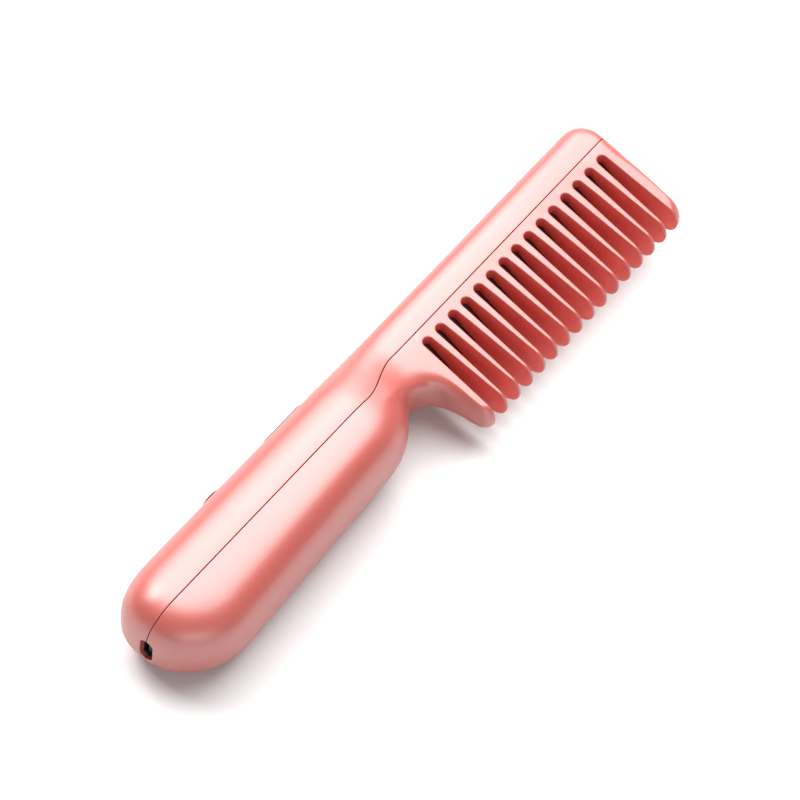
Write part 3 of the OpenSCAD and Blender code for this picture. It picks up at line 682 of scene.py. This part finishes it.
@dataclass
class EdgeCut:
    """Walls of a cut through the casing whose edges are rounded where they meet the skin."""

    tree: BVHTree
    radius: float
    base: float = 0.0
    deep: float = 1.1
    first_a: float = 12.0
    rim_out: float = 0.05
    rim_high: float = 0.8
    above: float = 60.0
    beyond: float = 40.0
    deep_share: float = 0.98

    def levels(self) -> list[Pair]:
        """Returns (distance to the side, depth) from the rim above the skin to the deep wall."""
        edge = fillet(self.radius, self.first_a, self.rim_out, self.base)
        return [(edge[0][0], -self.rim_high)] + edge + [(self.base, self.deep)]

    def section(self, path: Points, hand: float, start_side: Optional[Vector] = None) -> list[Station]:
        """Returns the stations of the skin's section along a path in the plane.

        Args:
            path: points inside the outline; the section goes on to the outline by itself.
            hand: 1 if the kept material is on the left of the path, -1 if on the right.
            start_side: way to the kept material at the first point, where the path starts inside the
                casing; without it the section goes on to the outline at its start too.
        """
        points = [self.tree.ray_cast(vec(p.x, p.y, self.above), vec(0, 0, -1))[0] for p in path]
        first = [] if start_side else self._end(points[1], points[0])[::-1]
        points = first + points + self._end(points[-2], points[-1])
        stations = []
        for k, point in enumerate(points):
            before, after = points[max(k - 1, 0)], points[min(k + 1, len(points) - 1)]
            flat = vec(after.x - before.x, after.y - before.y, 0)
            along = flat.normalized()
            inward = vec(along.x, along.y, 0) * (after.z - before.z) + vec(0, 0, -flat.length)
            side = vec(-along.y, along.x, 0) * hand
            if k == 0 and start_side:
                inward, side = vec(0, 0, -1), Vector(start_side)
            elif k == 0:
                inward = along
            elif k == len(points) - 1:
                inward = -along
            stations.append(Station(point, inward.normalized(), side))
        return stations

    def _end(self, before: Vector, last: Vector, n: int = 12) -> list[Vector]:
        """Returns the section's points from the last point inside the outline down to the mid-plane."""
        way = vec(last.x - before.x, last.y - before.y, 0).normalized()
        out = []
        for t in steps(n)[1:]:
            z = last.z * cos(radians(90 * t))
            hit = self.tree.ray_cast(vec(last.x, last.y, max(z, 1e-3)) + way * self.beyond, -way)[0]
            out.append(vec(hit.x, hit.y, 0.0 if t == 1.0 else z))
        return out

    def solid(self, walls: Sequence[Sequence[Station]], flips: Pair, deep_slot: Slot) -> Mesh:
        """Returns the closed cutter between two walls.

        Args:
            walls: the stations of both walls, of the same number.
            flips: sign of the way to the side for each wall.
            deep_slot: finish of the walls below the rounded edge.
        """
        levels = self.levels()
        rows = []
        for a, b in zip(*walls):
            loop = a.loop(levels, flips[0]) + b.loop(levels, flips[1])[::-1]
            rows.append(loop + loop[:1])
        bm = grid(rows)
        limit = self.radius * self.deep_share
        for face in bm.faces:
            deep = all(self._depth(v.co) > limit for v in face.verts)
            face.material_index = (deep_slot if deep else Slot.OUTSIDE).value
        return bm

    def _depth(self, co: Vector) -> float:
        """Returns how far a point lies below the skin."""
        near, normal = self.tree.find_nearest(co)[:2]
        return (co - near).length if (co - near).dot(normal) < 0 else 0.0


@dataclass
class Sunk:
    """Rings over the casing's skin that follow its form: for a sunk opening or for a pad that lies in one."""

    tree: BVHTree
    axis: Vector
    first_a: float = 14.0
    lift: float = 0.04
    above: float = 200.0
    pad_shares: tuple[float, ...] = (0.25, 0.5, 0.75, 0.97)

    def surface(self, p: Vector) -> Vector:
        """Returns the skin's point over p, (X, Z) for axis Y and (Y, Z) for axis X."""
        at = vec(p.x, 0, p.y) if abs(self.axis.y) > 0.5 else vec(0, p.x, p.y)
        return self.tree.ray_cast(at + self.axis * self.above, -self.axis)[0]

    def ring(self, outline: Points, out: float, depth: Optional[float],
             level: Optional[float] = None) -> list[Vector]:
        """Returns one ring.

        Args:
            outline: closed outline in the plane across the axis, anticlockwise.
            out: distance outwards from the outline.
            depth: distance below the skin, or None for a flat ring.
            level: place along the axis of a flat ring.
        """
        points = []
        for k, p in enumerate(outline):
            along = (outline[(k + 1) % len(outline)] - outline[k - 1]).normalized()
            q = p + vec(along.y, -along.x) * out
            s = self.surface(q)
            if depth is None:
                s = s + self.axis * (level - s.dot(self.axis))
            else:
                s = s - self.axis * depth
            points.append(s)
        return points

    def solid(self, rings: Sequence[Points]) -> Mesh:
        """Returns the closed solid through rings, with a flat face at either end."""
        return close(grid([list(r) + [r[0]] for r in rings]))

    def cutter(self, outline: Points, radius: float, floor: float, top: float) -> Mesh:
        """Returns a cutter with a rounded edge at the skin.

        Args:
            outline: the opening's outline.
            radius: rounding of the edge.
            floor: place along the axis where the cut ends.
            top: place along the axis above the skin.
        """
        edge = fillet(radius, self.first_a, self.lift)
        rings = [self.ring(outline, edge[0][0], None, top)] + [self.ring(outline, *level) for level in edge]
        return self.solid(rings + [self.ring(outline, 0.0, None, floor)])

    def pad(self, outline: Points, radius: float, floor: float, proud: float) -> Mesh:
        """Returns a pad whose top follows the skin and whose edge is rounded.

        Args:
            outline: the pad's outline.
            radius: rounding of its upper edge.
            floor: place along the axis of its underside.
            proud: height of its top above the skin.
        """
        rings = [self.ring(outline, 0.0, None, floor)]
        for t in steps(6):
            a = radians(90 * t)
            rings.append(self.ring(outline, -radius * (1 - cos(a)), radius * (1 - sin(a)) - proud))
        xs, ys = [p.x for p in outline], [p.y for p in outline]
        half = (max(ys) - min(ys)) / 2
        core = [vec(min(max(x, min(xs) + half), max(xs) - half), 0) for x in xs]
        for t in self.pad_shares:
            rings.append(self.ring([p.lerp(c, t) for p, c in zip(outline, core)], 0.0, -proud))
        return self.solid(rings)


def stadium(c: Vector, l: float, w: float, r: Optional[float] = None, n: int = 16) -> list[Vector]:
    """Returns the outline of a rectangle with round corners.

    Args:
        c: centre.
        l: length along the first axis.
        w: width along the second axis.
        r: corner radius; without it the ends are round.
        n: steps of each corner.
    """
    if r is None:
        r = min(l, w) / 2 - END_FLAT
    out = []
    for k, (sx, sy) in enumerate(((1, 1), (-1, 1), (-1, -1), (1, -1))):
        out += arc(c + vec(sx * (l / 2 - r), sy * (w / 2 - r)), r, 90 * k, 90 * k + 90, n)
    return out


def spread_out(outline: Points, most: float) -> list[Vector]:
    """Returns a closed outline with points added so that no side is longer than most."""
    out = []
    for a, b in zip(outline, list(outline[1:]) + [outline[0]]):
        n = max(1, ceil((b - a).length / most))
        out += line(a, b, n)[:-1]
    return out


# ---- sub-assemblies ----


@dataclass
class Shells:
    """The back shell and the comb shell, split at the seam."""

    shop: Workshop
    seam_round: float = 0.1
    seam_ends: Pair = (2.4, 2.2)
    seam_n: int = 200
    slot_round: float = 0.28
    port_w: float = 9.3
    port_h: float = 3.5
    port_depth: float = 6.0
    port_edge: float = 0.25
    panel_x: float = -36.5
    panel_l: float = 42.0
    panel_w: float = 10.0
    panel_floor: float = 12.4
    pocket_edge: float = 0.15
    fit: float = 0.1
    button_x: float = -51.5
    button_well_d: float = 9.4
    window_x: float = -25.8
    window_hole: Pair = (12.8, 7.0)
    hole_r: float = 0.4
    board_top: float = 9.75
    bar_t: float = 9.0
    bar_back: float = 4.2
    bar_over: float = 3.0
    bar_shoulder: float = 0.4
    bar_nose_r: float = 1.1
    bar_reach: float = 6.4
    bar_side_a: float = 28.0
    cavity_before: float = 2.0
    slot_past: float = 0.5
    slot_stop: float = 2.1
    head_cavity_h: float = 6.1
    head_cavity_from: float = 5.0
    head_cavity_over: float = 3.4
    head_cavity_corner: Pair = (2.5, 2.0)
    tree: BVHTree = field(init=False, default=None)

    def bar(self, g: float, n: int) -> Mesh:
        """Returns the heater bar, grown by g on all sides, with n steps round its nose."""
        c = self.shop.casing
        h = self.bar_t / 2 + g
        shoulder = c.root_r - self.bar_shoulder
        nose = arc(vec(self.bar_nose_r - self.bar_reach, 0), self.bar_nose_r + g,
                   90 + self.bar_side_a, 270 - self.bar_side_a, n)
        back, over = self.bar_back + g, self.bar_over + g
        outline = [vec(back, -h), vec(back, h), vec(shoulder, h)] + nose + [vec(shoulder, -h)]
        return prism(outline, c.first_x - over, c.last_x + over, "X")

    def slot_cutter(self, x: float) -> Mesh:
        """Returns the cutter of the slot at x."""
        c = self.shop.casing
        cut = EdgeCut(self.tree, self.slot_round)
        end = vec(c.slot_tip_w / 2, -c.tip_y - self.slot_past)
        lean = degrees(acos(c.root_r / end.length) - atan2(-end.y, end.x))
        root = arc(vec(0, 0), c.root_r, 90, lean, 10)
        half = root + line(root[-1], root[-1].lerp(end, 1 - self.slot_stop / end.length), 22)[1:]
        walls = []
        for hand in (1.0, -1.0):
            path = [vec(x + hand * p.x, p.y) for p in half]
            walls.append(cut.section(path, hand, vec(0, 1, 0)))
        # The walls below the rounded edge take the painted red that stands for the light and shade in the
        # slots.
        return cut.solid(walls, (1.0, 1.0), Slot.DEEP)

    def seam_cutter(self) -> Mesh:
        """Returns the thin cutter that splits the casing at its seam."""
        c = self.shop.casing
        cut = EdgeCut(self.tree, self.seam_round, base=c.seam_gap / 2, deep=1.0)
        x0, x1 = c.end_x + self.seam_ends[0], c.nose_x - self.seam_ends[1]
        path = [vec(x, c.seam_y(x) + c.seam_gap / 2) for x in (mix(x0, x1, t) for t in steps(self.seam_n))]
        wall = cut.section(path, 1.0)
        return cut.solid((wall, wall), (1.0, -1.0), Slot.INSIDE)

    def cavity(self) -> Mesh:
        """Returns the handle's inside."""
        c = self.shop.casing
        bm = c.skin(c.wall)
        bmesh.ops.bisect_plane(bm, geom=bm.verts[:] + bm.edges[:] + bm.faces[:], dist=FINE, clear_outer=True,
                               plane_co=(c.notch_x - self.cavity_before, 0, 0), plane_no=(1, 0, 0))
        return paint(close(bm), Slot.INSIDE)

    def head_cavity(self) -> Mesh:
        """Returns the room for the heater's carrier in the back shell."""
        c = self.shop.casing
        h, top, (dy, dz) = self.head_cavity_h, c.back_y - c.wall, self.head_cavity_corner
        side = [vec(-1, h), vec(top - dy, h), vec(top, h - dz)]
        outline = [vec(p.x, -p.y) for p in side] + side[::-1]
        bm = prism(outline, c.notch_x - self.head_cavity_from, c.last_x + self.head_cavity_over, "X")
        return paint(bm, Slot.INSIDE)

    def port_cutter(self) -> Mesh:
        """Returns the cutter of the charging port's opening."""
        sunk = Sunk(self.tree, vec(-1, 0, 0))
        outline = stadium(vec(0, 0), self.port_h, self.port_w)
        end = -self.shop.casing.end_x
        return sunk.cutter(outline, self.port_edge, end - self.port_depth, end + CLEAR)

    def back_cutters(self) -> list[Mesh]:
        """Returns the cutters of the back shell's panel pocket, button well and window opening."""
        sunk = Sunk(self.tree, vec(0, 1, 0))
        back = self.shop.casing.back_y
        room = 2 * self.fit
        pocket = spread_out(stadium(vec(self.panel_x, 0), self.panel_l + room, self.panel_w + room), 2.0)
        hole = stadium(vec(self.window_x, 0), *self.window_hole, self.hole_r, 4)
        return [
            sunk.cutter(pocket, self.pocket_edge, self.panel_floor, back + CLEAR),
            prism(circle(vec(self.button_x, 0), self.button_well_d), self.board_top, back, "Y"),
            prism(hole, self.board_top, back, "Y"),
        ]

    def build(self, finishes: Sequence[bpy.types.Material]) -> None:
        """Makes both shells.

        Args:
            finishes: the lacquer, the red of the slot walls, which is painted light and shade, and the plain
                inside.
        """
        c = self.shop.casing
        skin = c.skin(0.0)
        self.tree = BVHTree.FromBMesh(skin)
        back = carve(skin, [self.seam_cutter()])
        comb = back.copy()
        back_ids = island(max(back.verts, key=lambda v: v.co.y))
        LOG.info("the seam leaves %d of %d points in the back", len(back_ids), len(back.verts))
        bmesh.ops.delete(back, geom=[v for v in back.verts if v.index not in back_ids], context="VERTS")
        bmesh.ops.delete(comb, geom=[v for v in comb.verts if v.index in back_ids], context="VERTS")
        back = carve(back, [self.cavity(), self.head_cavity(), self.port_cutter()] + self.back_cutters())
        slots = [self.slot_cutter(c.first_x + k * c.pitch) for k in range(c.slot_count)]
        comb = carve(comb, [self.cavity(), self.port_cutter(), join(slots[::2]), join(slots[1::2]),
                            paint(self.bar(self.fit, 10), Slot.INSIDE)])
        self.shop.finish(back, "back_casing", finishes, "back_shell")
        self.shop.finish(comb, "comb_casing", finishes, "comb_shell")
        # The bar's black shows at the slot roots as painted shade.
        self.shop.finish(self.bar(0.0, 14), "shade_black_bar", [SLOT_SHADE_BLACK.build()], "heater_bar")


@dataclass
class Controls:
    """The panel on the back with the display window and the power button."""

    shop: Workshop
    shells: Shells
    panel_proud: float = 0.1
    panel_edge: float = 0.22
    window_l: float = 13.6
    window_w: float = 8.0
    window_r: float = 1.0
    window_edge: float = 0.2
    window_seat: float = 0.5
    window_open: Pair = (12.0, 6.4)
    window_proud: float = 0.38
    button_d: float = 7.4
    button_clear: float = 0.2
    button_top: float = 14.15
    button_floor: float = 11.6
    flange: float = 0.8
    flange_t: float = 0.7
    edge_r: float = 0.8
    dish: tuple[Pair, ...] = ((0.62, 0.12), (0.3, 0.2), (0.0, 0.22))

    def build(self) -> None:
        """Makes the panel, the window and the button."""
        s = self.shells
        sunk = Sunk(s.tree, vec(0, 1, 0))
        back = self.shop.casing.back_y
        outline = spread_out(stadium(vec(s.panel_x, 0), s.panel_l, s.panel_w), 2.0)
        panel = sunk.pad(outline, self.panel_edge, s.panel_floor, self.panel_proud)
        window = vec(s.window_x, 0)
        hole = circle(vec(s.button_x, 0), self.button_d + 2 * self.button_clear)
        seat, rim = (
            spread_out(stadium(window, self.window_l + room, self.window_w + room, self.window_r, 8), 1.0)
            for room in (2 * s.fit, 0.0))
        lip = stadium(window, *self.window_open, s.hole_r, 4)
        over, under = back + CLEAR, s.panel_floor - CLEAR
        panel = carve(panel, [
            sunk.solid([sunk.ring(hole, 0.0, None, over), sunk.ring(hole, 0.0, None, under)]),
            sunk.solid([sunk.ring(seat, 0.0, None, over), sunk.ring(seat, 0.0, self.window_seat)]),
            prism(lip, under, back, "Y"),
        ])
        self.shop.finish(panel, "panel", [PANEL.build()], "control_panel")
        glass = sunk.pad(rim, self.window_edge, back - self.window_seat, self.window_proud)
        self.shop.finish(glass, "window", [GLASS.build()], "display_window")
        self.button()

    def button(self) -> None:
        """Makes the round button with a dished top and a flange under the panel."""
        r, top, low = self.button_d / 2, self.button_top, self.button_floor
        rim, step = r + self.flange, low + self.flange_t
        profile = [Vector(p) for p in ((0, low), (rim, low), (rim, step), (r, step))]
        profile += arc(vec(r - self.edge_r, top - self.edge_r), self.edge_r, 0, 90, 8)
        profile += [vec(r * share, top - depth) for share, depth in self.dish]
        bm = bmesh.new()
        verts = [bm.verts.new((p.x, p.y, 0)) for p in profile]
        edges = [bm.edges.new(pair) for pair in zip(verts, verts[1:])]
        bmesh.ops.spin(bm, geom=verts + edges, cent=(0, 0, 0), axis=(0, 1, 0), angle=tau, steps=72,
                       use_merge=True)
        bmesh.ops.remove_doubles(bm, verts=bm.verts[:], dist=MERGE)
        bmesh.ops.recalc_face_normals(bm, faces=bm.faces[:])
        bmesh.ops.translate(bm, vec=(self.shells.button_x, 0, 0), verts=bm.verts[:])
        self.shop.finish(bm, "button_cap", [BUTTON.build()], "power_button", "button")


@dataclass
class ChargingSocket:
    """The socket behind the opening in the handle's end."""

    shop: Workshop
    x0: float = -89.4
    x1: float = -82.0
    width: float = 8.94
    height: float = 3.2
    metal: float = 0.3
    back_wall: float = 1.5
    tongue_w: float = 6.74
    tongue_h: float = 0.7
    tongue_in: float = 0.8
    contact_n: int = 6
    contact_pitch: float = 0.95
    contact_size: tuple[float, float, float] = (2.6, 0.06, 0.5)
    contact_in: float = 2.0
    rim_r: float = 0.09

    def build(self) -> None:
        """Makes the metal sleeve and the tongue with its contacts."""
        outer, inner = (stadium(vec(0, 0), self.height - room, self.width - room)
                        for room in (0.0, 2 * self.metal))
        hollow = prism(inner, self.x0 - CLEAR, self.x1 - self.back_wall, "X")
        sleeve = carve(prism(outer, self.x0, self.x1, "X"), [hollow])
        rim = [e for e in sleeve.edges if all(abs(v.co.x - self.x0) < MERGE for v in e.verts)]
        bmesh.ops.bevel(sleeve, geom=rim, offset=self.rim_r, offset_type="OFFSET", segments=3, profile=0.5,
                        affect="EDGES", material=-1, clamp_overlap=True)
        # The sleeve's darkened steel is painted shade in the port opening.
        self.shop.finish(sleeve, "socket_sleeve", [SOCKET_SHADED_STEEL.build()], "socket_shell")
        tongue = stadium(vec(0, 0), self.tongue_h, self.tongue_w, 0.12, 3)
        block = prism(tongue, self.x0 + self.tongue_in, self.x1 - self.back_wall, "X")
        pads = []
        for side in (-1, 1):
            for k in range(self.contact_n):
                centre = (self.x0 + self.tongue_in + self.contact_in, side * self.tongue_h / 2,
                          (k - (self.contact_n - 1) / 2) * self.contact_pitch)
                pad = bmesh.new()
                bmesh.ops.create_cube(pad, size=1.0)
                bmesh.ops.scale(pad, vec=self.contact_size, verts=pad.verts[:])
                bmesh.ops.translate(pad, vec=centre, verts=pad.verts[:])
                pads.append(paint(pad, Slot.DEEP))
        whole = join([block] + pads)
        self.shop.finish(whole, "socket_contacts", [BLACK.build(), GOLD.build()], "socket_tongue")


# ---- finishes of this comb ----

LACQUER = PearlLacquer("rose_lacquer", (0.38, 0.062, 0.046), variation=0.02, patch_scale=25.0,
                       roughness=(0.38, 0.42), specular=0.68, ior=1.8, grain_scale=6000.0,
                       grain_height=0.0000015)
# Painted light and shade: the slot walls are the same lacquered moulding as the faces; this brighter red
# without flakes stands for how the light falls in the slots.
SLOT_WALL_PAINTED_RED = Finish("slot_wall_painted_red", (0.64, 0.105, 0.085), variation=0.08, patch_scale=180.0, roughness=(0.5, 0.58),
                  grain_height=0.000003)
INSIDE = Finish("inside_plastic", (0.14, 0.065, 0.055), roughness=(0.6, 0.7), grain_height=0.000006)
# Painted shade: the heater bar is black so that its slivers at the slot roots stand for the shade deep in the
# slots.
SLOT_SHADE_BLACK = Finish("slot_shade_black", (0.012, 0.010, 0.010), roughness=(0.38, 0.46), specular=0.4,
                 grain_scale=5000.0, grain_height=0.000003)
PANEL = Finish("panel_plastic", (0.30, 0.05, 0.042), variation=0.03, roughness=(0.3, 0.36), coat=0.3)
GLASS = Finish("smoked_window", (0.012, 0.006, 0.007), variation=0.2, roughness=(0.24, 0.3), specular=0.05,
               grain_height=0.0000003)
BUTTON = Finish("button_plastic", (0.12, 0.012, 0.012), variation=0.04, roughness=(0.4, 0.46), specular=0.1)
# Painted shade: the sleeve's steel is darkened so that the port opening reads as the shade inside it.
SOCKET_SHADED_STEEL = Finish("socket_steel_painted_shade", (0.09, 0.075, 0.075), metallic=1.0, roughness=(0.3, 0.4), variation=0.05)
STEEL = Finish("plated_steel", (0.62, 0.62, 0.64), metallic=1.0, roughness=(0.26, 0.36), variation=0.04,
               patch_scale=900.0)
BLACK = Finish("black_plastic", (0.015, 0.015, 0.016))
GOLD = Finish("gold_plating", (0.83, 0.58, 0.22), metallic=1.0, roughness=(0.2, 0.3), patch_scale=900.0)
BOARD = Finish("board_mask", (0.01, 0.09, 0.035), roughness=(0.28, 0.36), variation=0.12,
               patch_scale=400.0, coat=0.4)
WHITE = Finish("white_moulding", (0.72, 0.71, 0.67), roughness=(0.5, 0.6))
NICKEL = Finish("nickel_strip", (0.70, 0.68, 0.62), metallic=1.0, roughness=(0.25, 0.35), patch_scale=500.0)
SLEEVE = Finish("cell_sleeve", (0.03, 0.10, 0.32), roughness=(0.3, 0.4), coat=0.3)
FOAM = Finish("foam_pad", (0.03, 0.03, 0.033), roughness=(0.9, 1.0), grain_scale=2500.0, grain_height=0.00006)
RED_WIRE = Finish("red_insulation", (0.45, 0.012, 0.012))
BLACK_WIRE = Finish("black_insulation", (0.012, 0.012, 0.012))
CERAMIC = Finish("fired_ceramic", (0.72, 0.69, 0.60), roughness=(0.6, 0.75), variation=0.05,
                 patch_scale=500.0)
FILM = Finish("amber_film", (0.50, 0.17, 0.02), roughness=(0.15, 0.25), coat=0.5)
GLASS_SLEEVE = Finish("glass_fibre_sleeve", (0.62, 0.60, 0.54), roughness=(0.7, 0.8), grain_scale=3500.0,
                      grain_height=0.00003)

INNER = {
    BLACK: ("switch_stem", "controller_chip", "power_transistors", "temperature_sensor"),
    STEEL: ("tact_switch", "board_screws", "carrier_screws"),
    WHITE: ("display_module", "heater_carrier"),
    BOARD: ("control_board", "charge_board"),
    SLEEVE: ("battery_cell",),
    FOAM: ("battery_pads",),
    NICKEL: ("battery_tab_rear", "battery_tab_front"),
    RED_WIRE: ("battery_wire_rear",),
    BLACK_WIRE: ("battery_wire_front",),
    CERAMIC: ("heater_ceramic", "thermal_fuse"),
    FILM: ("heater_film",),
    GLASS_SLEEVE: ("heater_wires",),
}


def dress_inner(nodes: dict) -> None:
    """Gives each carried-over node its finish.

    Args:
        nodes: the frame's objects by node name.
    """
    for finish, names in INNER.items():
        material = finish.build()
        for name in names:
            slots = nodes[name].data.materials
            slots.clear()
            slots.append(material)
        LOG.info("%s: %s", finish.name, ", ".join(names))


# ---- studio ----


@dataclass(frozen=True)
class SoftBox:
    """A soft rectangular light that faces a point of the comb."""

    name: str
    azimuth: float
    elevation: float
    distance: float
    size: Pair
    power: float

    def build(self, aim: Vector) -> None:
        """Adds the light to the scene."""
        data = bpy.data.lights.new(self.name, "AREA")
        data.shape = "RECTANGLE"
        data.size, data.size_y = self.size
        data.energy = self.power
        obj = place(self.name, data)
        way = direction(self.azimuth, self.elevation)
        obj.location = aim + way * self.distance
        obj.rotation_euler = way.to_track_quat("Z", "Y").to_euler()


def direction(azimuth: float, elevation: float) -> Vector:
    """Returns the unit way to a place round the comb.

    Args:
        azimuth: degrees from the tooth side (-Y) towards the nose (+X).
        elevation: degrees above the floor.
    """
    a, e = radians(azimuth), radians(elevation)
    return vec(sin(a) * cos(e), -cos(a) * cos(e), sin(e))


@dataclass
class Studio:
    """The floor, the lights and the camera."""

    aim: Vector = field(default_factory=lambda: vec(-0.00019, 0.0021, 0.0132))
    azimuth: float = -61.04
    elevation: float = 62.10
    roll: float = 11.51
    distance: float = 0.75296
    lens: float = 139.57
    world: float = 0.34
    floor_size: float = 4.0
    floor_patches: float = 3.0
    floor_greys: Pair = (0.77, 0.79)

    def camera(self) -> None:
        """Adds the camera at the photograph's angle."""
        data = bpy.data.cameras.new("camera")
        data.sensor_fit = "HORIZONTAL"
        data.sensor_width = 36.0
        data.lens = self.lens
        data.clip_start, data.clip_end = 0.05, 20.0
        back = direction(self.azimuth, self.elevation)
        level = vec(0, 0, 1).cross(back).normalized()
        turn = Matrix.Rotation(radians(self.roll), 3, back)
        pose = (turn @ Matrix((level, back.cross(level), back)).transposed()).to_4x4()
        pose.translation = self.aim + back * self.distance
        obj = place("camera", data)
        obj.matrix_world = pose
        bpy.context.scene.camera = obj

    def lights(self) -> None:
        """Adds the soft lights and the even surroundings."""
        world = bpy.data.worlds.new("surroundings")
        world.use_nodes = True
        Nodes.put(world.node_tree.nodes["Background"], Color=(1, 1, 1, 1), Strength=self.world)
        bpy.context.scene.world = world
        for box in (
            SoftBox("key", azimuth=106, elevation=66, distance=0.9, size=(0.75, 0.8), power=12.4),
            SoftBox("back", azimuth=146, elevation=38, distance=1.2, size=(1.0, 0.8), power=11.5),
            SoftBox("end", azimuth=183, elevation=54, distance=1.2, size=(0.45, 0.45), power=9.0),
            SoftBox("tooth_side", azimuth=320, elevation=17, distance=1.2, size=(0.8, 0.5), power=3.4),
        ):
            box.build(self.aim)
        view = bpy.context.scene.view_settings
        view.view_transform = "Standard"
        view.look = "None"

    def floor(self) -> None:
        """Adds the plain pale floor."""
        bm = bmesh.new()
        bmesh.ops.create_grid(bm, x_segments=2, y_segments=2, size=self.floor_size / 2)
        mesh = as_mesh(bm, "floor")
        n = Nodes("pale_floor")
        patches = n.noise(n.coordinates(), self.floor_patches)
        low, high = ([grey] * 3 for grey in self.floor_greys)
        n.join(n.ramp(patches, low, high), "Color", n.shader, "Base Color")
        n.put(n.shader, Roughness=0.9, Specular_IOR_Level=0.1)
        mesh.materials.append(n.material)
        place("floor", mesh)

    def build(self) -> None:
        """Sets up the whole studio."""
        self.camera()
        self.lights()
        self.floor()


def main() -> None:
    """Builds the comb and its studio."""
    logging.basicConfig(level=logging.INFO, format="%(name)s: %(message)s")
    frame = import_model()
    casing = Casing()
    shop = Workshop(casing, mid_y=-4.825)
    shells = Shells(shop)
    shells.build([LACQUER.build(), SLOT_WALL_PAINTED_RED.build(), INSIDE.build()])
    Controls(shop, shells).build()
    ChargingSocket(shop).build()
    dress_inner(frame["nodes"])
    Studio().build()


if __name__ == "__main__":
    main()
